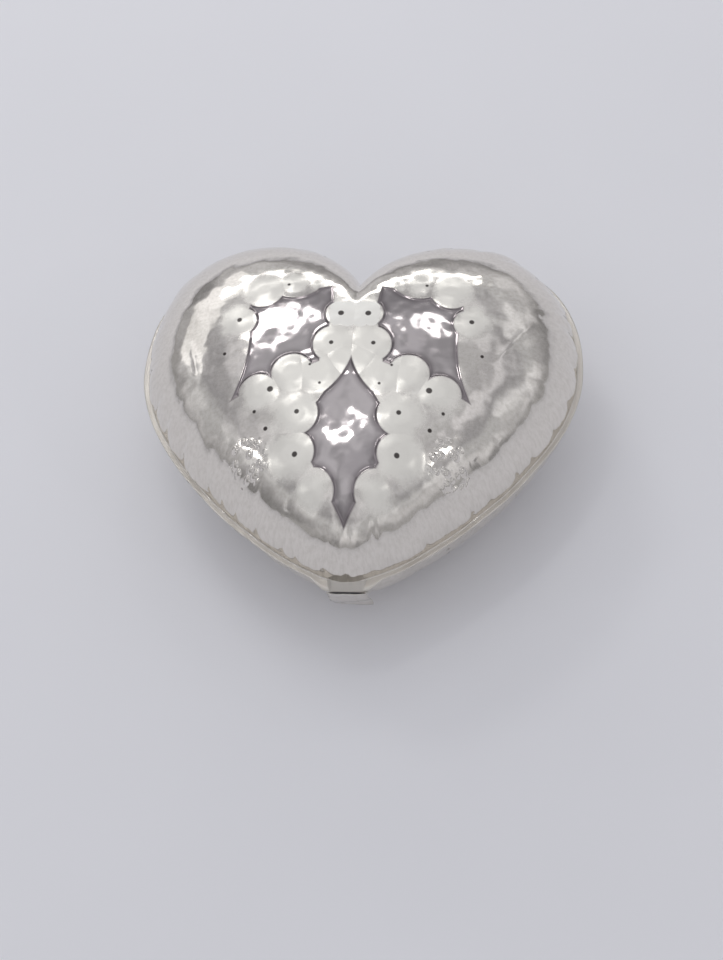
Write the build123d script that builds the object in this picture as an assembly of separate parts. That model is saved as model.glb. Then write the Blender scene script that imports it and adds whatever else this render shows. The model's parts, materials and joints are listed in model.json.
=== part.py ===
from build123d import *
from build123d.topology import SkipClean
from math import cos, hypot, radians, sin
import os

# A heart-shaped foil balloon, filled with air, lying on its back: the front of the heart faces up (+Z),
# the notch between the lobes points to +Y and the tip to -Y. The origin is under the middle of the
# balloon, on the surface that it lies on. Two metallised film panels are welded together all round.
# The flat neck at the tip holds a valve of two clear films, and is folded under the balloon.

# Driving dimensions, in millimetres and degrees
WIDTH = 350.0              # across the two lobes, between the inner edges of the weld
HEIGHT = 303.0             # from the top of the lobes to the tip, between the inner edges of the weld
THICKNESS = 172.0          # from the surface it lies on to the top of the front
NOTCH_DEPTH = 45.0         # from the top of the lobes down to the notch
WIDEST_BELOW_TOP = 110.0   # from the top of the lobes down to where the heart is widest
FILM = 0.6                 # one panel's film; the real one is about 0.03
WELD_WIDTH = 5.0           # the flat welded edge all round
NECK_WIDTH = 32.0
NECK_LENGTH = 58.0         # from the fold to the open end
NECK_ROOT = 8.0            # from the tip to the fold
NECK_FLARE = 13.0          # how much wider and higher the root is where it meets the weld
FOLD_ANGLE = 116.0         # how far the neck is folded under, from straight out
FOLD_GAP = 0.3             # between the neck and its root, at the fold
VALVE_FILM = 0.3           # one valve film; the real one is about 0.03
VALVE_WIDTH = 22.0
VALVE_REACH = 62.0         # from the tip into the balloon
VALVE_SETBACK = 9.0        # from the neck's open end to the valve's mouth
VALVE_CLEARANCE = 0.05     # between the valve films and the foil round them

# How the section changes from the weld to the crown: a heart that shrinks and turns round
CENTRE_BELOW_NOTCH = 95.0  # the point that every section shrinks towards
ROUND_RADIUS = 150.0       # the circle that the heart turns into, before it shrinks
FULLNESS = 0.75            # below 1 the sides stand steeper at the weld
LEVEL_ANGLES = [0, 12, 24, 36, 48, 60, 71, 82]
BEZIER_CIRCLE = 0.5523     # handle length of a quarter circle of radius 1

# The heart outline's Bezier handles: how far each end of a curve runs on before it bends
NOTCH_HANDLE = (35.0, 69.4)    # across and up, the way the lobe leaves the notch
SHOULDER_HANDLE = 131.4
SIDE_HANDLE = 88.0
TIP_HANDLE = 42.0

# The frame's place: the middle of the whole length is at Y = 0, and the weld is half way up.
# At the fold the neck's two films stand out a little past the end of its root.
FOLD_OVERHANG = 2 * FILM * sin(radians(FOLD_ANGLE)) + FOLD_GAP * cos(radians(FOLD_ANGLE))
TOP_Y = (HEIGHT + NECK_ROOT + FOLD_OVERHANG - WELD_WIDTH) / 2
NOTCH_Y = TOP_Y - NOTCH_DEPTH
WIDEST_Y = TOP_Y - WIDEST_BELOW_TOP
TIP_Y = TOP_Y - HEIGHT
CENTRE_Y = NOTCH_Y - CENTRE_BELOW_NOTCH
FOLD_Y = TIP_Y - NECK_ROOT
WELD_Z = THICKNESS / 2
FOLD_Z = WELD_Z - FILM


def heart_half(grow=0):
    """Bezier points of the heart's right half, from the notch round the lobe to the tip."""
    handle_x, handle_y = NOTCH_HANDLE
    notch_y = NOTCH_Y + grow * hypot(handle_x, handle_y) / handle_x
    side_x, low_y = WIDTH / 2 + grow, TIP_Y - grow
    return [
        [(0, notch_y), (handle_x, NOTCH_Y + handle_y + grow),
         (side_x, WIDEST_Y + SHOULDER_HANDLE + grow / 2), (side_x, WIDEST_Y)],
        [(side_x, WIDEST_Y), (side_x, WIDEST_Y - SIDE_HANDLE - grow / 2),
         (TIP_HANDLE + grow / 2, low_y), (0, low_y)],
    ]


def closed_outline(right_half, z):
    """The wire through a right half's Bezier points and its mirror image."""
    right = [Edge.make_bezier(*[(x, y, z) for x, y in points]) for points in right_half]
    left = [Edge.make_bezier(*[(-x, y, z) for x, y in reversed(points)]) for points in reversed(right_half)]
    return Wire(right + left)


def round_half():
    """Bezier points of the right half of the circle, in step with the heart's."""
    r, handle = ROUND_RADIUS, BEZIER_CIRCLE * ROUND_RADIUS
    return [
        [(0, r), (handle, r), (r, handle), (r, 0)],
        [(r, 0), (r, -handle), (handle, -r), (0, -r)],
    ]


def section(level_angle, inset):
    """The closed outline at one level above the weld, moved in by about inset."""
    shrink = cos(radians(level_angle)) ** FULLNESS
    roundness = 1 - shrink
    size = shrink * (1 - inset / ROUND_RADIUS)
    crown = WELD_Z - inset
    z = crown * sin(radians(level_angle)) / sin(radians(LEVEL_ANGLES[-1]))
    curves = []
    for heart_curve, round_curve in zip(heart_half(), round_half()):
        points = []
        for (hx, hy), (rx, ry) in zip(heart_curve, round_curve):
            x = size * ((1 - roundness) * hx + roundness * rx)
            y = CENTRE_Y + size * ((1 - roundness) * (hy - CENTRE_Y) + roundness * ry)
            points.append((x, y))
        curves.append(points)
    return closed_outline(curves, z)


def half_body(inset):
    """The solid between the weld's plane and the crown."""
    return Solid.make_loft([section(angle, inset) for angle in LEVEL_ANGLES])


def plate(outline, low, high):
    """A flat sheet of the given outline between two heights."""
    return extrude(Pos(0, 0, low) * outline, amount=high - low, dir=(0, 0, 1))


def box_between(low, high):
    """A box with its edges along the axes, between two corners."""
    size = [b - a for a, b in zip(low, high)]
    return Pos(*low) * Box(*size, align=(Align.MIN, Align.MIN, Align.MIN))


def weld_outline():
    """The flat edge all round, with the neck's root at the tip."""
    half = NECK_WIDTH / 2
    outer = make_face(closed_outline(heart_half(WELD_WIDTH), 0))
    foot, foot_y = half + NECK_FLARE, TIP_Y + NECK_FLARE
    root = make_face(Polyline((-half, FOLD_Y), (half, FOLD_Y), (foot, foot_y), (-foot, foot_y), close=True))
    return outer + root - make_face(section(0, FILM / 2))


def valve_slot(low_y, high_y):
    """The room for one valve film against the weld's plane."""
    half = VALVE_WIDTH / 2 + VALVE_CLEARANCE
    return box_between((-half, low_y, -FILM), (half, high_y, VALVE_FILM + VALVE_CLEARANCE))


def foil_panel():
    """One panel, drawn above the weld's plane: a domed film with a flat edge all round."""
    dome = half_body(0) - half_body(FILM)
    panel = dome + plate(weld_outline(), 0, FILM)
    return panel - valve_slot(FOLD_Y - 1, TIP_Y + NECK_ROOT)


def neck_foil():
    """One panel's half of the neck, drawn straight out above the weld's plane."""
    half = NECK_WIDTH / 2
    start = FOLD_Y - FOLD_GAP
    sheet = box_between((-half, start - NECK_LENGTH, 0), (half, start, FILM))
    return sheet - valve_slot(start - NECK_LENGTH + VALVE_SETBACK - 1, start + 1)


def valve_film(low_y, high_y):
    """One clear valve film against the weld's plane."""
    half = VALVE_WIDTH / 2
    return box_between((-half, low_y, 0), (half, high_y, VALVE_FILM))


def front_side(shape):
    return Pos(0, 0, WELD_Z) * shape


def back_side(shape):
    return Pos(0, 0, WELD_Z) * mirror(shape, about=Plane.XY)


def folded_under(shape):
    """Turn a straight neck piece about the fold, which runs along X under the neck's root."""
    fold_line = Axis((0, FOLD_Y, FOLD_Z), (1, 0, 0))
    return shape.rotate(fold_line, FOLD_ANGLE)


neck_end = FOLD_Y - FOLD_GAP - NECK_LENGTH
with SkipClean():    # joining the outline's curves into one would move them
    panel = foil_panel()
neck_half = neck_foil()
inner_valve = valve_film(FOLD_Y, TIP_Y + VALVE_REACH)
neck_valve = valve_film(neck_end + VALVE_SETBACK, FOLD_Y - FOLD_GAP)

parts = {
    "front_foil_panel": front_side(panel),
    "back_foil_panel": back_side(panel),
    "valve_film_front": front_side(inner_valve),
    "valve_film_back": back_side(inner_valve),
    "neck_foil_front": folded_under(front_side(neck_half)),
    "neck_foil_back": folded_under(back_side(neck_half)),
    "neck_valve_front": folded_under(front_side(neck_valve)),
    "neck_valve_back": folded_under(back_side(neck_valve)),
}

print("fold line at Y", round(FOLD_Y, 3), "Z", round(FOLD_Z, 3), "rest patch centre Y", round(CENTRE_Y, 3))
os.makedirs("parts", exist_ok=True)
for name, shape in parts.items():
    export_step(shape, f"parts/{name}.step")
    box = shape.bounding_box()
    print(name, len(shape.solids()), "solid,", round(shape.volume), "mm3,", box.min, box.max)
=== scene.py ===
"""A heart-shaped foil balloon with a lace print, lying on its back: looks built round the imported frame."""

import json
import math

import bpy
import numpy as np
from mathutils import Matrix, Vector


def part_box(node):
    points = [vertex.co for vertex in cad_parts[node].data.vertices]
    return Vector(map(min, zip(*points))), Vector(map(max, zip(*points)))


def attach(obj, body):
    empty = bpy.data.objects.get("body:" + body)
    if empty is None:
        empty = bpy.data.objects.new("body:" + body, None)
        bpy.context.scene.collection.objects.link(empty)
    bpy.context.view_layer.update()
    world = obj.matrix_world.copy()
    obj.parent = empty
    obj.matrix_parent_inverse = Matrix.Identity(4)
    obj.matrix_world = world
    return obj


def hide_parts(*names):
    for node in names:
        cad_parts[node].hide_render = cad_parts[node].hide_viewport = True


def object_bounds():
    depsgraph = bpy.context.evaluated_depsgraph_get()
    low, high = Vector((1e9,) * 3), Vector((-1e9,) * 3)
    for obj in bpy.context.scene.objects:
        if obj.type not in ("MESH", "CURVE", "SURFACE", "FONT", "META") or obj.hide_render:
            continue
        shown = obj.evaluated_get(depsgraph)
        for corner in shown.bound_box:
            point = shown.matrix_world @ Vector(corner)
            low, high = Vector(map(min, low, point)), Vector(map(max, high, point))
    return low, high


bl_info = {
    "name": "Heart Foil Balloon",
    "version": (1, 0, 0),
    "blender": (4, 5, 0),
    "location": "3D View > Sidebar > Balloon",
    "description": "Inflates a heart of two foil panels, prints its lace, and adds its neck and valve",
    "category": "Object",
}

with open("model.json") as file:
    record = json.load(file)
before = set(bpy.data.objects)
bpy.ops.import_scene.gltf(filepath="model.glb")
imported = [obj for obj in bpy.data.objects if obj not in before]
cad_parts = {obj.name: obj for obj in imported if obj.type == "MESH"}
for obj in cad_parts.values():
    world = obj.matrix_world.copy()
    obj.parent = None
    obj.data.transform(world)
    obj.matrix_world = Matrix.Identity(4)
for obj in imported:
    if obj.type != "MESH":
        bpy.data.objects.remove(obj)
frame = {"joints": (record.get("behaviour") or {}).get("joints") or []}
CAD_LOW, CAD_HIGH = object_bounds()

MM = 0.001
PANEL_LOW, PANEL_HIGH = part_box("front_foil_panel")
NECK_LOW, NECK_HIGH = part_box("neck_foil_front")
TONGUE_LOW, TONGUE_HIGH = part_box("valve_film_front")
FOLD = frame["joints"][0]
FOLD_POINT = Vector(FOLD["pos_m"])
FOLD_ANGLE = math.radians(FOLD["range_deg"][1])

# The heart's outline at the weld, in metres, worked out from the frame
WELD_WIDTH = 5 * MM
NECK_ROOT = 8 * MM
WELD_Z = PANEL_LOW.z
HALF_THICKNESS = PANEL_HIGH.z - PANEL_LOW.z
HALF_WIDTH = PANEL_HIGH.x - WELD_WIDTH
TOP_Y = PANEL_HIGH.y - WELD_WIDTH
NOTCH_Y = TOP_Y - 45 * MM
WIDEST_Y = TOP_Y - 110 * MM
FOLD_Y = PANEL_LOW.y
TIP_Y = FOLD_Y + NECK_ROOT
CENTRE = np.array([0, NOTCH_Y - 95 * MM])
ROUND_RADIUS = 150 * MM
FULLNESS = 0.6             # below 1 the sides stand steeper at the weld
LOBE_KEEPING = 1.6         # above 1 the lobes and the notch run further up the sides
BEZIER_CIRCLE = 0.5523     # handle length of a quarter circle of radius 1
NOTCH_HANDLE = (35 * MM, 69.4 * MM)
SHOULDER_HANDLE = 131.4 * MM
SIDE_HANDLE = 88 * MM
TIP_HANDLE = 42 * MM

# Long creases in the front: start and end seen from above, and height, in metres
LONG_CREASES = [((0.114, 0.012), (0.144, 0.062), 1.2 * MM), ((-0.135, 0.042), (-0.124, -0.004), -0.6 * MM),
                ((-0.150, -0.018), (-0.120, -0.056), -1.2 * MM)]


# ---------------------------------------------------------------- small helpers

def linear(hex_colour):
    """An sRGB hex colour as linear red, green and blue."""
    channels = [int(hex_colour[i:i + 2], 16) / 255 for i in (0, 2, 4)]
    return [c / 12.92 if c <= 0.04045 else ((c + 0.055) / 1.055) ** 2.4 for c in channels]


def smooth(low, high, values):
    """0 below low, 1 above high, and smooth between."""
    t = np.clip((values - low) / (high - low), 0, 1)
    return t * t * (3 - 2 * t)


def deselect():
    """Back to object mode with nothing selected."""
    if bpy.context.object and bpy.context.object.mode != "OBJECT":
        bpy.ops.object.mode_set(mode="OBJECT")
    bpy.ops.object.select_all(action="DESELECT")


def only(piece):
    """Make piece the one selected and active object."""
    deselect()
    piece.select_set(True)
    bpy.context.view_layer.objects.active = piece


def get_points(piece):
    """The piece's vertices as rows of x, y, z."""
    points = np.zeros(len(piece.data.vertices) * 3)
    piece.data.vertices.foreach_get("co", points)
    return points.reshape(-1, 3)


def set_points(piece, points):
    """Move the piece's vertices to rows of x, y, z."""
    piece.data.vertices.foreach_set("co", points.astype(np.float32).ravel())
    piece.data.update()


def finish_piece(piece, name, slot, body, *replaced):
    """Name the piece and tie it to the frame."""
    piece.name = piece.data.name = name
    only(piece)
    bpy.ops.object.shade_smooth()
    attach(piece, body)
    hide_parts(*replaced)


# ---------------------------------------------------------------- the heart's shape

def heart_half(grow=0.0):
    """Bezier points of the heart's right half, from the notch round the lobe to the tip."""
    handle_x, handle_y = NOTCH_HANDLE
    notch_y = NOTCH_Y + grow * math.hypot(handle_x, handle_y) / handle_x
    side_x, low_y = HALF_WIDTH + grow, TIP_Y - grow
    return [
        [(0, notch_y), (handle_x, NOTCH_Y + handle_y + grow),
         (side_x, WIDEST_Y + SHOULDER_HANDLE + grow / 2), (side_x, WIDEST_Y)],
        [(side_x, WIDEST_Y), (side_x, WIDEST_Y - SIDE_HANDLE - grow / 2),
         (TIP_HANDLE + grow / 2, low_y), (0, low_y)],
    ]


def round_half():
    """Bezier points of a circle's right half, in step with the heart's."""
    r, handle = ROUND_RADIUS, BEZIER_CIRCLE * ROUND_RADIUS
    return [
        [(0, r), (handle, r), (r, handle), (r, 0)],
        [(r, 0), (r, -handle), (handle, -r), (0, -r)],
    ]


def along(half, t):
    """Points on a half outline. t runs from 0 at the notch to 2 at the tip."""
    second = t > 1
    u = np.where(second, t - 1, t)[:, None]
    points = np.zeros((len(t), 2))
    for pick, curve in ((~second, half[0]), (second, half[1])):
        a, b, c, d = (np.array(p) for p in curve)
        v = u[pick]
        points[pick] = (1 - v) ** 3 * a + 3 * (1 - v) ** 2 * v * b + 3 * (1 - v) * v * v * c + v ** 3 * d
    return points


def even_steps(share):
    """The curve parameter for each share of the way round the half outline."""
    t = np.linspace(0, 2, 801)
    gaps = np.linalg.norm(np.diff(along(heart_half(), t), axis=0), axis=1)
    lengths = np.concatenate([[0], np.cumsum(gaps)])
    return np.interp(share, lengths / lengths[-1], t)


def on_skin(directions):
    """Where each unit direction from the middle lands on the filled balloon, and its level and way round."""
    level = np.arcsin(np.clip(np.abs(directions[:, 2]), 0, 1))
    side = np.where(directions[:, 0] < 0, -1, 1)
    turn = np.arctan2(directions[:, 1], np.abs(directions[:, 0]))
    t = even_steps(0.5 - turn / math.pi)
    shrink = np.cos(level) ** FULLNESS
    roundness = ((1 - shrink) ** LOBE_KEEPING)[:, None]
    heart, circle = along(heart_half(), t) - CENTRE, along(round_half(), t)
    flat = CENTRE + shrink[:, None] * ((1 - roundness) * heart + roundness * circle)
    rise = HALF_THICKNESS * np.sin(level)
    z = np.where(directions[:, 2] < 0, WELD_Z - rise * 1.004, WELD_Z + rise)
    points = np.column_stack([flat[:, 0] * side, flat[:, 1], np.maximum(z, 0)])
    return points, level, t * side


# ---------------------------------------------------------------- the print

# The right half of the lace, in millimetres, which the left half mirrors: circles are (x, y, radius).
STAR_HULL = [((0.853, 0.522), 8.4), ((0.866, -0.5), 61.0)]
STAR_SCALLOPS = [(65, 34, 67.5), (42, -35, 18.5), (43, -67, 18), (27, -98, 19)]
WING_HULL = [((0.236, 0.972), 88.3), ((0.992, 0.124), 94.0), ((-0.389, -0.921), -21.2),
             ((-0.984, -0.177), -27.7), ((-0.992, 0.124), -9.2)]
WING_SCALLOPS = [(93, 53, 13.5), (207, 36, 123), (74, -14, 16), (47, 2, 17), (15, 28, 17),
                 (10, 57, 13.5), (50, 99, 25), (76, 83, 17)]
CREAM_LOBES = [(10, 57, 15), (15, 30, 19), (8, 16, 18), (27, 4, 22), (47, 2, 19), (42, -35, 20),
               (43, -67, 20), (72, -12, 17), (25, -96, 13), (94, 54, 15), (76, 84, 17), (52, 90, 11),
               (33, 87, 5)]
# A white patch between the upper windows, laid as flat ink: a painted highlight.
HIGHLIGHT_LOBES = [(12, 57, 9), (5, 62, 8), (5, 52, 8), (14, 63, 6), (14, 51, 6)]
DOTS = [(11, 57, 2.4), (17, 29, 1.8), (41, -33, 2.0), (64, -12, 2.5), (41, -68, 2.2), (94, 55, 2.0),
        (24, -8, 1.2), (33, 9, 1.1), (66, -45, 1.7), (76, -30, 1.4), (104, 24, 1.4), (56, 88, 1.3)]
ROSETTE = (80, -66, 19)
PRINT_SHIFT = (-1, 7, 0)   # the print sits a little low and right on the film, in millimetres


def add_node(tree, kind, inputs=(), **settings):
    """Add a node, set its properties, and set or link its inputs, given in order or by name."""
    node = tree.nodes.new(kind)
    for name, value in settings.items():
        setattr(node, name, value)
    pairs = inputs.items() if isinstance(inputs, dict) else enumerate(inputs)
    for key, value in pairs:
        if isinstance(value, bpy.types.NodeSocket):
            tree.links.new(value, node.inputs[key])
        elif value is not None:
            node.inputs[key].default_value = value
    return node


def new_material(name):
    """An empty material with a principled shader linked to its output."""
    material = bpy.data.materials.new(name)
    material.use_nodes = True
    tree = material.node_tree
    tree.nodes.clear()
    shader = add_node(tree, "ShaderNodeBsdfPrincipled")
    add_node(tree, "ShaderNodeOutputMaterial", [shader.outputs[0]])
    return material, tree, shader


def circles_field(tree, place, circles):
    """Distance outside the nearest circle, negative inside."""
    nearest = None
    for x, y, radius in circles:
        reach = add_node(tree, "ShaderNodeVectorMath", [place, (x, y, 0)], operation="DISTANCE")
        edge = add_node(tree, "ShaderNodeMath", [reach.outputs["Value"], radius], operation="SUBTRACT")
        if nearest is None:
            nearest = edge.outputs[0]
        else:
            nearest = add_node(tree, "ShaderNodeMath", [nearest, edge.outputs[0]],
                               operation="MINIMUM").outputs[0]
    return nearest


def hull_field(tree, place, sides):
    """Distance outside a convex shape of straight sides, negative inside."""
    furthest = None
    for (nx, ny), offset in sides:
        along_normal = add_node(tree, "ShaderNodeVectorMath", [place, (nx, ny, 0)], operation="DOT_PRODUCT")
        edge = add_node(tree, "ShaderNodeMath", [along_normal.outputs["Value"], offset],
                        operation="SUBTRACT")
        if furthest is None:
            furthest = edge.outputs[0]
        else:
            furthest = add_node(tree, "ShaderNodeMath", [furthest, edge.outputs[0]],
                                operation="MAXIMUM").outputs[0]
    return furthest


def window_field(tree, place, hull, scallops):
    """Distance outside a scalloped window, negative inside."""
    inside_hull = hull_field(tree, place, hull)
    scallop = circles_field(tree, place, scallops)
    outside_scallops = add_node(tree, "ShaderNodeMath", [scallop, -1.0], operation="MULTIPLY")
    return add_node(tree, "ShaderNodeMath", [inside_hull, outside_scallops.outputs[0]],
                    operation="MAXIMUM").outputs[0]


def ramp(tree, value, low, high, start=0.0, end=1.0):
    """A smooth change from start to end as value goes from low to high."""
    node = add_node(tree, "ShaderNodeMapRange", [value, low, high, start, end],
                    interpolation_type="SMOOTHSTEP")
    return node.outputs[0]


def printed_film(colours):
    """Vacuum-metallised nylon film with an offset lace print: mirror where it is bare, satin where inked."""
    material, tree, shader = new_material("printed_metallised_nylon_film")
    place = add_node(tree, "ShaderNodeTexCoord").outputs["Object"]
    scaled = add_node(tree, "ShaderNodeVectorMath", [place, (1000, 1000, 0)], operation="MULTIPLY").outputs[0]
    printed = add_node(tree, "ShaderNodeVectorMath", [scaled, PRINT_SHIFT]).outputs[0]
    x, y = add_node(tree, "ShaderNodeSeparateXYZ", [printed]).outputs[:2]
    mirrored = add_node(tree, "ShaderNodeMath", [x], operation="ABSOLUTE").outputs[0]
    half = add_node(tree, "ShaderNodeCombineXYZ", [mirrored, y]).outputs[0]

    star = window_field(tree, half, STAR_HULL, STAR_SCALLOPS)
    wing = window_field(tree, half, WING_HULL, WING_SCALLOPS)
    window = add_node(tree, "ShaderNodeMath", [star, wing], operation="MINIMUM").outputs[0]
    lobes = circles_field(tree, half, CREAM_LOBES)
    dots = circles_field(tree, half, DOTS)
    rosette = circles_field(tree, half, [ROSETTE])

    mottle = add_node(tree, "ShaderNodeTexNoise", {"Vector": scaled, "Scale": 0.055, "Detail": 5.0,
                                                   "Roughness": 0.62}).outputs[0]
    speckle = add_node(tree, "ShaderNodeTexNoise", {"Vector": scaled, "Scale": 0.35, "Detail": 3.0,
                                                    "Roughness": 0.7}).outputs[0]
    frayed = add_node(tree, "ShaderNodeMath", [mottle, 26.0, lobes], operation="MULTIPLY_ADD").outputs[0]
    ink = ramp(tree, frayed, 5.0, 22.0, 1.0, 0.0)
    glass = ramp(tree, window, -0.4, 0.4, 1.0, 0.0)
    dot = ramp(tree, dots, -0.5, 0.5, 1.0, 0.0)
    # Painted shade: a dark line along each window's edge.
    line = add_node(tree, "ShaderNodeMath", [window], operation="ABSOLUTE").outputs[0]
    edge_shade = ramp(tree, line, 0.2, 1.2, 0.45, 0.0)
    # Painted shade: each window darkens towards its edge.
    shade = ramp(tree, window, -7.0, 0.5, 0.0, 0.75)

    silver = add_node(tree, "ShaderNodeMix", {"Factor": ramp(tree, speckle, 0.35, 0.7),
                      6: (*colours.silver, 1), 7: (*colours.worn_silver, 1)}, data_type="RGBA")
    inked = add_node(tree, "ShaderNodeMix", {"Factor": ink, 6: silver.outputs[2], 7: (*colours.cream, 1)},
                     data_type="RGBA")
    # The windows' tint, darker towards their edges: painted shade.
    window_shaded = add_node(tree, "ShaderNodeMix", {"Factor": shade, 6: (*colours.mauve, 1),
                      7: (*colours.edge_shade, 1)}, data_type="RGBA")
    # Painted highlight: the white patch between the upper windows, flat and bright under any light.
    painted_highlight = ramp(tree, circles_field(tree, half, HIGHLIGHT_LOBES), -0.6, 0.9, 1.0, 0.0)
    highlighted = add_node(tree, "ShaderNodeMix", {"Factor": painted_highlight, 6: inked.outputs[2],
                        7: (*colours.white, 1)}, data_type="RGBA")
    clear = add_node(tree, "ShaderNodeMix", {"Factor": glass, 6: highlighted.outputs[2], 7: window_shaded.outputs[2]},
                     data_type="RGBA")
    # The dark line round the windows: painted shade.
    edge_shaded = add_node(tree, "ShaderNodeMix", {"Factor": edge_shade, 6: clear.outputs[2], 7: (*colours.edge_shade, 1)},
                      data_type="RGBA")
    dotted = add_node(tree, "ShaderNodeMix", {"Factor": dot, 6: edge_shaded.outputs[2], 7: (*colours.dot, 1)},
                      data_type="RGBA")
    tree.links.new(dotted.outputs[2], shader.inputs["Base Color"])

    not_glass = add_node(tree, "ShaderNodeMath", [1.0, glass], operation="SUBTRACT").outputs[0]
    satin = add_node(tree, "ShaderNodeMath", [ink, not_glass], operation="MULTIPLY").outputs[0]
    mirror = ramp(tree, satin, 0.0, 1.0, 1.0, 0.3)
    # The painted highlight is not metal, so it stays white.
    not_highlighted = add_node(tree, "ShaderNodeMath", [1.0, painted_highlight], operation="SUBTRACT").outputs[0]
    metal = add_node(tree, "ShaderNodeMath", [mirror, not_highlighted], operation="MULTIPLY").outputs[0]
    tree.links.new(metal, shader.inputs["Metallic"])
    tree.links.new(ramp(tree, satin, 0.0, 1.0, 0.10, 0.27), shader.inputs["Roughness"])

    crinkle = add_node(tree, "ShaderNodeTexNoise", {"Vector": scaled, "Scale": 0.06, "Detail": 1.0,
                                                    "Roughness": 0.45}).outputs[0]
    coarse = add_node(tree, "ShaderNodeBump", {"Strength": 0.22, "Distance": 0.004, "Height": crinkle})
    beads = add_node(tree, "ShaderNodeTexVoronoi", {"Vector": scaled, "Scale": 0.15}).outputs[0]
    dome = add_node(tree, "ShaderNodeMath", [beads, beads], operation="MULTIPLY").outputs[0]
    bead_zone = ramp(tree, rosette, -6.0, 0.0, 1.0, 0.0)
    bead_height = add_node(tree, "ShaderNodeMath", [ramp(tree, dome, 0.0, 0.3, 1.0, 0.0), bead_zone],
                           operation="MULTIPLY").outputs[0]
    beaded = add_node(tree, "ShaderNodeBump", {"Strength": 0.9, "Distance": 0.0018, "Height": bead_height,
                                               "Normal": coarse.outputs[0]})
    puffed = add_node(tree, "ShaderNodeBump", {"Strength": 0.6, "Distance": 0.0022,
                      "Height": ramp(tree, lobes, -13.0, 1.0, 1.0, 0.0), "Normal": beaded.outputs[0]})
    step = ramp(tree, window, -2.2, 0.6)
    edged = add_node(tree, "ShaderNodeBump", {"Strength": 0.7, "Distance": 0.0012, "Height": step,
                                              "Normal": puffed.outputs[0]})
    tree.links.new(edged.outputs[0], shader.inputs["Normal"])
    return material


def plain_film(colours):
    """Vacuum-metallised nylon film: a bright mirror, with the faint crinkle of thin film."""
    material, tree, shader = new_material("plain_metallised_nylon_film")
    place = add_node(tree, "ShaderNodeTexCoord").outputs["Object"]
    speckle = add_node(tree, "ShaderNodeTexNoise",
                       {"Vector": place, "Scale": 180.0, "Detail": 3.0}).outputs[0]
    tint = add_node(tree, "ShaderNodeMix", {"Factor": ramp(tree, speckle, 0.35, 0.7),
                    6: (*colours.silver, 1), 7: (*colours.worn_silver, 1)}, data_type="RGBA")
    tree.links.new(tint.outputs[2], shader.inputs["Base Color"])
    shader.inputs["Metallic"].default_value = 1.0
    tree.links.new(ramp(tree, speckle, 0.3, 0.7, 0.07, 0.16), shader.inputs["Roughness"])
    crinkle = add_node(tree, "ShaderNodeTexNoise", {"Vector": place, "Scale": 60.0, "Detail": 2.0}).outputs[0]
    bump = add_node(tree, "ShaderNodeBump", {"Strength": 0.3, "Distance": 0.003, "Height": crinkle})
    tree.links.new(bump.outputs[0], shader.inputs["Normal"])
    return material


def welded_film(colours):
    """Film pressed by a heated, cross-cut jaw: the mirror breaks up into a fine knurl."""
    material, tree, shader = new_material("heat_sealed_nylon_film")
    place = add_node(tree, "ShaderNodeTexCoord").outputs["Object"]
    shader.inputs["Base Color"].default_value = (*colours.worn_silver, 1)
    shader.inputs["Metallic"].default_value = 1.0
    shader.inputs["Roughness"].default_value = 0.34
    knurl = []
    for angle in (45, -45):
        turned = add_node(tree, "ShaderNodeVectorRotate", {"Vector": place, "Angle": math.radians(angle)})
        wave = add_node(tree, "ShaderNodeTexWave", {"Vector": turned.outputs[0], "Scale": 260.0})
        knurl.append(wave.outputs[1])
    height = add_node(tree, "ShaderNodeMath", knurl, operation="MAXIMUM").outputs[0]
    bump = add_node(tree, "ShaderNodeBump", {"Strength": 0.5, "Distance": 0.0004, "Height": height})
    tree.links.new(bump.outputs[0], shader.inputs["Normal"])
    return material


def clear_film(colours):
    """Blown polyethylene film: clear, a little hazy, with a bright gloss."""
    material, tree, shader = new_material("clear_blown_polyethylene_film")
    shader.inputs["Base Color"].default_value = (*colours.clear, 1)
    shader.inputs["Roughness"].default_value = 0.18
    shader.inputs["IOR"].default_value = 1.5
    shader.inputs["Transmission Weight"].default_value = 0.85
    place = add_node(tree, "ShaderNodeTexCoord").outputs["Object"]
    haze = add_node(tree, "ShaderNodeTexNoise", {"Vector": place, "Scale": 140.0}).outputs[0]
    bump = add_node(tree, "ShaderNodeBump", {"Strength": 0.2, "Distance": 0.001, "Height": haze})
    tree.links.new(bump.outputs[0], shader.inputs["Normal"])
    return material


# ---------------------------------------------------------------- what a user would change

class BalloonSizes(bpy.types.PropertyGroup):
    """Sizes that shape the film."""

    film_thickness: bpy.props.FloatProperty(
        name="Film thickness", description="Thickness given to each foil film", default=0.25 * MM,
        unit="LENGTH", subtype="DISTANCE")
    seam_slack: bpy.props.FloatProperty(
        name="Seam slack", description="Share by which the film at the weld is longer than the filled heart",
        default=0.07, subtype="FACTOR")
    pucker_reach: bpy.props.FloatProperty(
        name="Pucker reach", description="How high above the weld the slack film runs", default=0.5,
        subtype="ANGLE")
    pucker_limit: bpy.props.FloatProperty(
        name="Pucker limit", description="How far the simulation may move the film", default=7 * MM,
        unit="LENGTH", subtype="DISTANCE")
    gather_spacing: bpy.props.FloatProperty(
        name="Gather spacing", description="Typical width of the film's large gathers along the weld",
        default=24 * MM, unit="LENGTH", subtype="DISTANCE")
    gather_rise: bpy.props.FloatProperty(
        name="Gather rise", description="How far a typical large gather stands out",
        default=4.2 * MM, unit="LENGTH", subtype="DISTANCE")
    gather_reach: bpy.props.FloatProperty(
        name="Gather reach", description="How far a typical large gather runs in from the weld",
        default=60 * MM, unit="LENGTH", subtype="DISTANCE")
    weld_wave: bpy.props.FloatProperty(
        name="Weld wave", description="How far the weld waves up and down", default=1.1 * MM,
        unit="LENGTH", subtype="DISTANCE")
    faces_across: bpy.props.IntProperty(
        name="Faces across", description="Faces along each edge of the cube that becomes the heart",
        default=62)
    frames: bpy.props.IntProperty(
        name="Filling frames", description="Frames of simulation", default=14)


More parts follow.
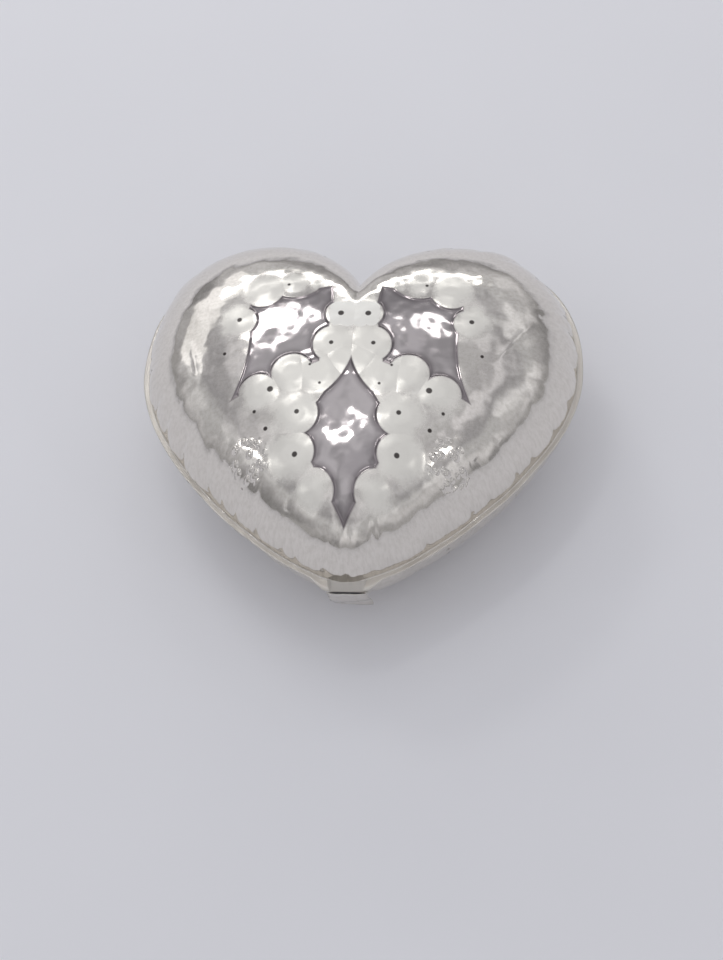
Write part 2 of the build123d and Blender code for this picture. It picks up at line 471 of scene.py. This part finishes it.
class BalloonColours(bpy.types.PropertyGroup):
    """Colours of the film and its inks."""

    silver: bpy.props.FloatVectorProperty(
        name="Silver", description="Bare metallised film", subtype="COLOR", default=linear("e9e4dd"))
    worn_silver: bpy.props.FloatVectorProperty(
        name="Worn silver", description="Speckle in the bare film", subtype="COLOR",
        default=linear("ddd8d0"))
    cream: bpy.props.FloatVectorProperty(
        name="Cream", description="Pearly ink of the lace", subtype="COLOR", default=linear("f5f2e9"))
    # Painted highlight: the white patch between the upper windows.
    white: bpy.props.FloatVectorProperty(
        name="White", description="Solid ink between the upper windows", subtype="COLOR",
        default=linear("fffdf5"))
    mauve: bpy.props.FloatVectorProperty(
        name="Mauve", description="Tint of the windows in the lace", subtype="COLOR",
        default=linear("b9b3b2"))
    # Painted shade: the dark line round each window, and the darkening of each window towards its edge.
    edge_shade: bpy.props.FloatVectorProperty(
        name="Rim", description="Fine line round each window", subtype="COLOR", default=linear("726a6d"))
    dot: bpy.props.FloatVectorProperty(
        name="Dot", description="Ink of the small dots", subtype="COLOR", default=linear("4c4744"))
    clear: bpy.props.FloatVectorProperty(
        name="Clear", description="Tint of the valve's film", subtype="COLOR", default=linear("f2f4f5"))


# ---------------------------------------------------------------- the foil panels

def cube_ball(faces_across):
    """A cube of even faces blown up to a ball of radius 1: an even mesh with no poles."""
    deselect()
    bpy.ops.mesh.primitive_cube_add(size=2)
    ball = bpy.context.object
    bpy.ops.object.mode_set(mode="EDIT")
    bpy.ops.mesh.select_all(action="SELECT")
    bpy.ops.mesh.subdivide(number_cuts=faces_across - 1)
    bpy.ops.object.mode_set(mode="OBJECT")
    spread = np.tan(get_points(ball) * math.pi / 4)
    set_points(ball, spread / np.linalg.norm(spread, axis=1)[:, None])
    return ball


def fill_with_air(skin, level, sizes):
    """Simulate the film under pressure, with slack at the weld.

    It shifts the film by about a millimetre, as soft unevenness. The gathers at the weld are made later.
    """
    filled = get_points(skin)
    near_weld = 1 - smooth(0, sizes.pucker_reach, level)
    cut = filled.copy()
    cut[:, :2] = CENTRE + (filled[:, :2] - CENTRE) * (1 + sizes.seam_slack * near_weld[:, None])
    shiver = np.random.default_rng(7).normal(0, 0.25 * MM, len(filled)) * near_weld
    skin.shape_key_add(name="filled")
    set_key(skin, "filled", filled + np.column_stack([np.zeros((len(filled), 2)), shiver]))
    skin.shape_key_add(name="cut")
    set_key(skin, "cut", cut)
    cloth = skin.modifiers.new("film", "CLOTH")
    film = cloth.settings
    film.rest_shape_key = skin.data.shape_keys.key_blocks["cut"]
    film.quality = 7
    film.mass = 0.1
    film.tension_stiffness = film.compression_stiffness = 60
    film.shear_stiffness = 30
    film.bending_stiffness = 0.15
    film.tension_damping = film.compression_damping = film.shear_damping = 8
    film.air_damping = 3
    film.use_pressure = True
    film.uniform_pressure_force = 4
    film.effector_weights.gravity = 0
    cloth.collision_settings.use_collision = False
    cloth.point_cache.frame_end = sizes.frames
    scene = bpy.context.scene
    for number in range(1, sizes.frames + 1):
        scene.frame_set(number)
    shown = skin.evaluated_get(bpy.context.evaluated_depsgraph_get())
    moved = np.zeros(len(filled) * 3)
    shown.data.vertices.foreach_get("co", moved)
    skin.modifiers.clear()
    skin.shape_key_clear()
    scene.frame_set(1)
    shift = moved.reshape(-1, 3) - filled
    reach = np.linalg.norm(shift, axis=1)[:, None]
    limit = sizes.pucker_limit
    return filled + shift * np.minimum(1, limit * np.tanh(reach / limit) / np.maximum(reach, 1e-9))


def set_key(skin, name, points):
    """Move one shape key of the film to the points."""
    skin.data.shape_keys.key_blocks[name].data.foreach_set("co", points.astype(np.float32).ravel())


def store(piece, name, values):
    """Keep one number for each vertex with the mesh."""
    piece.data.attributes.new(name, "FLOAT", "POINT").data.foreach_set("value", values.astype(np.float32))


def recall(piece, name):
    """Read back the numbers kept with the mesh, one for each vertex."""
    values = np.zeros(len(piece.data.vertices), np.float32)
    piece.data.attributes[name].data.foreach_get("value", values)
    return values.astype(float)


def keep_half(skin, front):
    """A copy of the skin with only its front or back faces."""
    only(skin)
    bpy.ops.object.duplicate()
    half = bpy.context.object
    upper = recall(half, "upper")
    drop = [bool(sum(upper[v] for v in face.vertices) * (1 if front else -1) < 0)
            for face in half.data.polygons]
    half.data.polygons.foreach_set("select", drop)
    half.data.vertices.foreach_set("select", [False] * len(half.data.vertices))
    half.data.edges.foreach_set("select", [False] * len(half.data.edges))
    bpy.ops.object.mode_set(mode="EDIT")
    bpy.ops.mesh.select_mode(type="FACE")
    bpy.ops.mesh.delete(type="FACE")
    bpy.ops.object.mode_set(mode="OBJECT")
    return half


def root_line(x, y):
    """The weld's outer edge, drawn down to the fold at the neck's root.

    It goes by x alone, so it takes the notch's points too, and a hidden strip of film runs down inside
    from there.
    """
    half_neck = (NECK_HIGH.x - NECK_LOW.x) / 2
    share = 1 - np.clip((np.abs(x) - half_neck) / (13 * MM), 0, 1)
    return y + (FOLD_Y - y) * smooth(0, 1, share)


def add_weld(panel, front, film):
    """Draw the panel's edge out into its half of the flat weld."""
    side = 1 if front else -1
    for step in (0.5, 1.0):
        before = len(panel.data.vertices)
        only(panel)
        bpy.ops.object.mode_set(mode="EDIT")
        bpy.ops.mesh.select_all(action="DESELECT")
        bpy.ops.mesh.select_mode(type="EDGE")
        bpy.ops.mesh.select_non_manifold(extend=False)
        bpy.ops.mesh.extrude_edges_move()
        bpy.ops.object.mode_set(mode="OBJECT")
        points = get_points(panel)
        way_round = recall(panel, "way_round")
        new = np.arange(before, len(points))
        t, hand = np.abs(way_round[new]), np.where(way_round[new] < 0, -1, 1)
        now, then = (along(heart_half(WELD_WIDTH * s), t) for s in (step, step - 0.5))
        x = points[new, 0] + hand * (now[:, 0] - then[:, 0])
        y = points[new, 1] + now[:, 1] - then[:, 1]
        if step == 1.0:
            y = root_line(x, y)
        points[new, 0], points[new, 1] = x, y
        points[new, 2] = WELD_Z + side * film * 0.6 + (points[new, 2] - WELD_Z) * 0.9
        set_points(panel, points)
        for face in panel.data.polygons:
            if any(v >= before for v in face.vertices):
                face.material_index = 1


def seam_place(points):
    """How far round the weld each point lies, in metres from the notch, negative on the left."""
    half = along(heart_half(), np.linspace(0, 2, 801))
    gaps = np.linalg.norm(np.diff(half, axis=0), axis=1)
    lengths = np.concatenate([[0], np.cumsum(gaps)])
    turns = math.pi / 2 - np.arctan2(*(half - CENTRE).T[::-1])
    flat = points[:, :2] - CENTRE
    turn = math.pi / 2 - np.arctan2(flat[:, 1], np.abs(flat[:, 0]))
    return np.interp(turn, turns, lengths) * np.where(flat[:, 0] < 0, -1, 1), lengths[-1]


def gathers(place, height, half_length, gather, seed):
    """Pillows of gathered film between creases, for one coarseness: spacing, rise and reach in metres."""
    spacing, rise, reach = gather
    draw = np.random.default_rng(seed)
    steps = draw.uniform(0.55, 1.45, round(2 * half_length / spacing))
    edges = np.concatenate([[0], np.cumsum(steps)]) / steps.sum() * 2 * half_length
    leans = draw.uniform(-0.25, 0.25, len(steps) + 1)
    leans[-1] = leans[0]
    reaches = reach * draw.uniform(0.5, 1.25, len(steps))
    round_weld = (place + half_length) % (2 * half_length)
    lean = np.interp(round_weld, edges, leans)
    round_weld = (round_weld + lean * height) % (2 * half_length)
    number = np.clip(np.searchsorted(edges, round_weld) - 1, 0, len(steps) - 1)
    width = np.diff(edges)[number]
    share = np.clip((round_weld - edges[number]) / width, 0, 1)
    pillow = (4 * share * (1 - share)) ** 0.6 * rise * width / spacing
    fade = np.clip(1 - height / reaches[number], 0, 1) ** 1.2
    bend = 0.75 + 0.6 * np.exp(-((np.abs(place) - 0.13) / 0.09) ** 2)
    return (pillow - 0.6 * rise) * fade * bend


def crease_film(panel, front, sizes):
    """Gather the film along the weld, and wave the weld itself a little."""
    points = get_points(panel)
    normals = np.zeros(len(points) * 3, np.float32)
    panel.data.vertex_normals.foreach_get("vector", normals)
    normals = normals.reshape(-1, 3)
    place, half_length = seam_place(points)
    lift = np.abs(points[:, 2] - WELD_Z)
    height = HALF_THICKNESS * np.arcsin(np.clip(lift / HALF_THICKNESS, 0, 1))
    shift = np.zeros(len(points))
    for number, gather in enumerate(((sizes.gather_spacing, sizes.gather_rise, sizes.gather_reach),
                                     (sizes.gather_spacing * 0.42, sizes.gather_rise * 0.36,
                                      sizes.gather_reach * 0.5))):
        shift += gathers(place, height, half_length, gather, 20 + 10 * number + (0 if front else 1))
    shift *= smooth(0, 9 * MM, lift)
    wave = sum(np.sin(place / length + phase) for length, phase in
               ((9 * MM, 0.4), (14 * MM, 2.1), (23 * MM, 4.4))) / 3
    at_fold = np.clip(1 - np.abs(points[:, 0]) / (30 * MM), 0, 1) * (points[:, 1] < TIP_Y + 20 * MM)
    at_weld = (1 - smooth(0, 14 * MM, height)) * (1 - smooth(0, 0.8, at_fold))
    points += normals * shift[:, None]
    points[:, 2] += sizes.weld_wave * wave * at_weld
    if front:
        for start, end, depth in LONG_CREASES:
            points += normals * (depth * line_dent(points, start, end))[:, None]
    set_points(panel, points)


def line_dent(points, start, end, width=3.2 * MM):
    """1 along a straight crease seen from above, fading to its sides and its ends."""
    run = np.array(end) - start
    share = (points[:, :2] - start) @ run / (run @ run)
    away = np.linalg.norm(points[:, :2] - start - np.clip(share, 0, 1)[:, None] * run, axis=1)
    ends = smooth(0, 0.3, share) * (1 - smooth(0.7, 1, share))
    return np.exp(-away / width) * ends * (points[:, 2] > WELD_Z)


def finish_panel(panel, front, sizes):
    """Smooth the film once more, crease it, and give it its thickness, inwards."""
    film = sizes.film_thickness
    only(panel)
    rounder = panel.modifiers.new("rounder", "SUBSURF")
    rounder.levels = rounder.render_levels = 1
    bpy.ops.object.modifier_apply(modifier=rounder.name)
    crease_film(panel, front, sizes)
    wall = panel.modifiers.new("wall", "SOLIDIFY")
    wall.thickness = film
    wall.offset = -1
    bpy.ops.object.modifier_apply(modifier=wall.name)
    for name in ("upper", "way_round"):
        panel.data.attributes.remove(panel.data.attributes[name])


class BALLOON_OT_foil_panels(bpy.types.Operator):
    """Fill the heart with air, and part it into its printed front and plain back at the weld"""

    bl_idname = "balloon.foil_panels"
    bl_label = "Foil panels"

    def execute(self, context):
        sizes, colours = context.scene.balloon_sizes, context.scene.balloon_colours
        skin = cube_ball(sizes.faces_across)
        directions = get_points(skin)
        points, level, way_round = on_skin(directions)
        set_points(skin, points)
        points = fill_with_air(skin, level, sizes)
        points[:, 2] = np.maximum(points[:, 2], 0)
        set_points(skin, points)
        store(skin, "way_round", way_round)
        store(skin, "upper", np.where(level < 1e-4, 0, np.sign(directions[:, 2])))
        looks = {True: ("front_foil", "printed_foil", "front_foil_panel", printed_film),
                 False: ("back_foil", "plain_foil", "back_foil_panel", plain_film)}
        sealed = welded_film(colours)
        for front, (name, slot, node, film_look) in looks.items():
            panel = keep_half(skin, front)
            panel.data.materials.clear()
            panel.data.materials.append(film_look(colours))
            panel.data.materials.append(sealed)
            add_weld(panel, front, sizes.film_thickness)
            finish_panel(panel, front, sizes)
            finish_piece(panel, name, slot, "envelope", node)
        bpy.data.objects.remove(skin)
        return {"FINISHED"}


# ---------------------------------------------------------------- the neck and its valve

NECK_WAVE = 1.4 * MM       # how far the limp neck waves
FOLD_GAP = 0.4 * MM        # between the fold line and the films that turn
NECK_EASE = math.radians(5)    # how far short of folded flat the limp neck hangs, clear of the back


def film_strip(name, low_y, high_y, half_width, z, bulge, seed):
    """A strip of film lying straight out along Y, sealed flat at its sides and slack between them."""
    deselect()
    length = high_y - low_y
    bpy.ops.mesh.primitive_grid_add(x_subdivisions=20, y_subdivisions=36, size=1)
    strip = bpy.context.object
    points = get_points(strip)
    x, y = points[:, 0] * 2 * half_width, (points[:, 1] + 0.5) * length + low_y
    across = 1 - (x / half_width) ** 2
    waves = np.random.default_rng(seed).uniform(-1, 1, (5, 4))
    ripple = sum(a * np.sin(2 * math.pi * (b * x / half_width + c * (y - low_y) / length * 2 + d))
                 for a, b, c, d in waves) / 5
    lift = bulge * across * (1 + 0.8 * ripple)
    from_fold = np.abs(y - FOLD_Y)
    wave = np.sin(from_fold / (11 * MM) + x / (26 * MM)) * (y < FOLD_Y)
    limp = NECK_WAVE * smooth(0, 30 * MM, from_fold) * wave
    set_points(strip, np.column_stack([x, y, z + lift + limp]))
    strip.name = name
    return strip


def fold_under(strip):
    """Turn a straight strip about the neck's fold to where it rests."""
    only(strip)
    turn = Matrix.Translation(FOLD_POINT) @ Matrix.Rotation(FOLD_ANGLE - NECK_EASE, 4, "X")
    strip.data.transform(turn @ Matrix.Translation(-FOLD_POINT))


def thicken(strip, film, material):
    """Give a strip its film thickness, evenly both ways, and its material."""
    only(strip)
    wall = strip.modifiers.new("wall", "SOLIDIFY")
    wall.thickness, wall.offset = film, 0
    bpy.ops.object.modifier_apply(modifier=wall.name)
    strip.data.materials.append(material)


class BALLOON_OT_neck_foil(bpy.types.Operator):
    """Make the two foil films of the neck, folded under the tip"""

    bl_idname = "balloon.neck_foil"
    bl_label = "Neck foil"

    def execute(self, context):
        sizes, colours = context.scene.balloon_sizes, context.scene.balloon_colours
        half = (NECK_HIGH.x - NECK_LOW.x) / 2
        look = plain_film(colours)
        for side, word, bulge in ((1, "front", 1.2 * MM), (-1, "back", -0.3 * MM)):
            strip = film_strip(f"neck_{word}", FOLD_Y - 58 * MM, FOLD_Y - FOLD_GAP, half,
                               WELD_Z + side * 0.45 * MM, bulge, seed=3)
            thicken(strip, sizes.film_thickness, look)
            fold_under(strip)
            finish_piece(strip, f"neck_{word}", "plain_foil", "neck", f"neck_foil_{word}")
        return {"FINISHED"}


class BALLOON_OT_valve_films(bpy.types.Operator):
    """Make the valve's two clear films: their part in the neck, and their tongue inside the balloon"""

    bl_idname = "balloon.valve_films"
    bl_label = "Valve films"

    def execute(self, context):
        look = clear_film(context.scene.balloon_colours)
        half = (TONGUE_HIGH.x - TONGUE_LOW.x) / 2
        for side, word in ((1, "front"), (-1, "back")):
            z = WELD_Z + side * 0.15 * MM
            tongue = film_strip("tongue", FOLD_Y + FOLD_GAP, TONGUE_HIGH.y, half, z, side * 0.1 * MM, seed=5)
            thicken(tongue, 0.1 * MM, look)
            finish_piece(tongue, f"valve_tongue_{word}", "clear_film", "envelope", f"valve_film_{word}")
            sleeve = film_strip("sleeve", FOLD_Y - 49 * MM, FOLD_Y - FOLD_GAP, half, z, side * 0.1 * MM,
                                seed=5)
            thicken(sleeve, 0.1 * MM, look)
            fold_under(sleeve)
            finish_piece(sleeve, f"valve_sleeve_{word}", "clear_film", "neck", f"neck_valve_{word}")
        return {"FINISHED"}


# ---------------------------------------------------------------- the studio

VIEW_AZIMUTH = math.radians(12.5)
VIEW_ELEVATION = math.radians(58.5)
VIEW_ROLL = math.radians(4.5)
VIEW_DISTANCE = 6.0
IMAGE_HEIGHT = 0.778       # what the picture's height spans at the balloon
IMAGE_CENTRE = (0.0018, -0.046)    # right and up, from the balloon's middle to the picture's


def add_camera():
    """A long lens that looks down at the heart, over its tip and from its right."""
    back = Vector((math.sin(VIEW_AZIMUTH) * math.cos(VIEW_ELEVATION),
                   -math.cos(VIEW_AZIMUTH) * math.cos(VIEW_ELEVATION), math.sin(VIEW_ELEVATION)))
    up = (Vector((0, 1, 0)) - back * back.y).normalized()
    up = Matrix.Rotation(VIEW_ROLL, 3, back) @ up
    right = up.cross(back)
    middle = (CAD_LOW + CAD_HIGH) / 2
    aim = middle + right * IMAGE_CENTRE[0] + up * IMAGE_CENTRE[1]
    data = bpy.data.cameras.new("camera")
    data.sensor_width = 36
    data.lens = 36 / IMAGE_HEIGHT * VIEW_DISTANCE
    camera = bpy.data.objects.new("camera", data)
    camera.matrix_world = Matrix.Translation(aim + back * VIEW_DISTANCE) @ Matrix(
        (right, up, back)).transposed().to_4x4()
    bpy.context.scene.collection.objects.link(camera)
    bpy.context.scene.camera = camera


LIGHT_DISTANCE = 2.2
# Name, direction from the balloon, width and height in metres, and brightness against the surround
LIGHTS = [("key", (-0.80, 0.75, 0.42), (1.7, 0.7), 0.45),
          ("window", (-0.15, 0.88, 0.40), (2.1, 0.18), 3.2),
          ("lamp_left", (-0.36, 0.58, 0.73), (0.55, 0.28), 4.8),
          ("lamp_right", (0.12, 0.60, 0.80), (0.28, 0.16), 3.2),
          ("lamp_middle", (-0.14, 0.20, 0.97), (0.44, 0.16), 7.0),
          ("lamp_low_right", (0.66, -0.33, 0.67), (0.14, 0.14), 9.0),
          ("lamp_low_left", (-0.82, -0.25, 0.52), (0.14, 0.14), 9.0)]


def add_light(name, place, size, radiance):
    """A soft light that faces the balloon."""
    data = bpy.data.lights.new(name, "AREA")
    data.shape = "RECTANGLE"
    data.size, data.size_y = size
    data.energy = radiance * math.pi * size[0] * size[1]
    light = bpy.data.objects.new(name, data)
    light.location = place
    light.rotation_euler = (Vector((0, 0, WELD_Z)) - place).to_track_quat("-Z", "Y").to_euler()
    bpy.context.scene.collection.objects.link(light)


def table_top():
    """Matt white melamine board: pale, plain, with the faintest unevenness."""
    material, tree, shader = new_material("matt_white_melamine_board")
    place = add_node(tree, "ShaderNodeTexCoord").outputs["Object"]
    cloud = add_node(tree, "ShaderNodeTexNoise", {"Vector": place, "Scale": 4.0}).outputs[0]
    tint = add_node(tree, "ShaderNodeMix", {"Factor": cloud, 6: (*linear("eeeef1"), 1),
                                            7: (*linear("f3f3f6"), 1)}, data_type="RGBA")
    tree.links.new(tint.outputs[2], shader.inputs["Base Color"])
    shader.inputs["Roughness"].default_value = 0.75
    return material


# What the mirror film sees at each height, from the horizon (0) to straight up (1)
ROOM = [(0.0, "8b8b8d"), (0.08, "949497"), (0.22, "b4b4b8"), (0.40, "c8c9cd"), (0.58, "a6a6ab"),
        (0.78, "bfbfc4"), (0.92, "cccdd1"), (1.0, "b2b2b7")]


def surround():
    """A room of soft mauve greys that the mirror film reflects, in bands broken up like walls and shelves."""
    world = bpy.data.worlds.new("surround")
    world.use_nodes = True
    tree = world.node_tree
    tree.nodes.clear()
    way = add_node(tree, "ShaderNodeTexCoord").outputs["Generated"]
    cloud = add_node(tree, "ShaderNodeTexNoise", {"Vector": way, "Scale": 2.6, "Detail": 3.0}).outputs[0]
    height = add_node(tree, "ShaderNodeSeparateXYZ", [way]).outputs[2]
    bent = add_node(tree, "ShaderNodeMath", [cloud, 0.5, height], operation="MULTIPLY_ADD").outputs[0]
    level = add_node(tree, "ShaderNodeMath", [bent, 0.25], operation="SUBTRACT").outputs[0]
    bands = add_node(tree, "ShaderNodeValToRGB", [level])
    for number, (place, colour) in enumerate(ROOM):
        if number < 2:
            stop = bands.color_ramp.elements[number]
            stop.position = place
        else:
            stop = bands.color_ramp.elements.new(place)
        stop.color = (*linear(colour), 1)
    patch = add_node(tree, "ShaderNodeTexNoise", {"Vector": way, "Scale": 3.5, "Detail": 1.0}).outputs[0]
    strength = ramp(tree, patch, 0.38, 0.66, 0.9, 1.45)
    glow = add_node(tree, "ShaderNodeBackground", [bands.outputs[0], strength])
    add_node(tree, "ShaderNodeOutputWorld", [glow.outputs[0]])
    return world


class BALLOON_OT_studio(bpy.types.Operator):
    """Lay a pale floor, and add the soft lights, the surround and the camera"""

    bl_idname = "balloon.studio"
    bl_label = "Studio"

    def execute(self, context):
        deselect()
        bpy.ops.mesh.primitive_plane_add(size=40)
        floor = context.object
        floor.name = "floor"
        floor.data.materials.append(table_top())
        for name, way, size, radiance in LIGHTS:
            place = Vector((0, 0, WELD_Z)) + Vector(way).normalized() * LIGHT_DISTANCE
            add_light(name, place, size, radiance)
        context.scene.world = surround()
        context.scene.view_settings.view_transform = "Standard"
        add_camera()
        return {"FINISHED"}


class BALLOON_PT_panel(bpy.types.Panel):
    """Lists the steps that make the balloon"""

    bl_idname = "BALLOON_PT_panel"
    bl_label = "Heart Foil Balloon"
    bl_space_type = "VIEW_3D"
    bl_region_type = "UI"
    bl_category = "Balloon"

    def draw(self, context):
        for group in (context.scene.balloon_sizes, context.scene.balloon_colours):
            for name in group.__annotations__:
                self.layout.prop(group, name)
        for step in STEPS:
            self.layout.operator(step.bl_idname)


STEPS = (BALLOON_OT_studio, BALLOON_OT_foil_panels, BALLOON_OT_neck_foil, BALLOON_OT_valve_films)
CLASSES = (BalloonSizes, BalloonColours, *STEPS, BALLOON_PT_panel)


def register():
    """Make the settings, the steps and the panel known to Blender."""
    for each in CLASSES:
        bpy.utils.register_class(each)
    bpy.types.Scene.balloon_sizes = bpy.props.PointerProperty(type=BalloonSizes)
    bpy.types.Scene.balloon_colours = bpy.props.PointerProperty(type=BalloonColours)


def unregister():
    """Take the settings, the steps and the panel out again."""
    del bpy.types.Scene.balloon_colours
    del bpy.types.Scene.balloon_sizes
    for each in reversed(CLASSES):
        bpy.utils.unregister_class(each)


def main():
    """Build the balloon and its studio."""
    register()
    bpy.ops.balloon.studio()
    bpy.ops.balloon.foil_panels()
    bpy.ops.balloon.neck_foil()
    bpy.ops.balloon.valve_films()


if __name__ == "__main__":
    main()
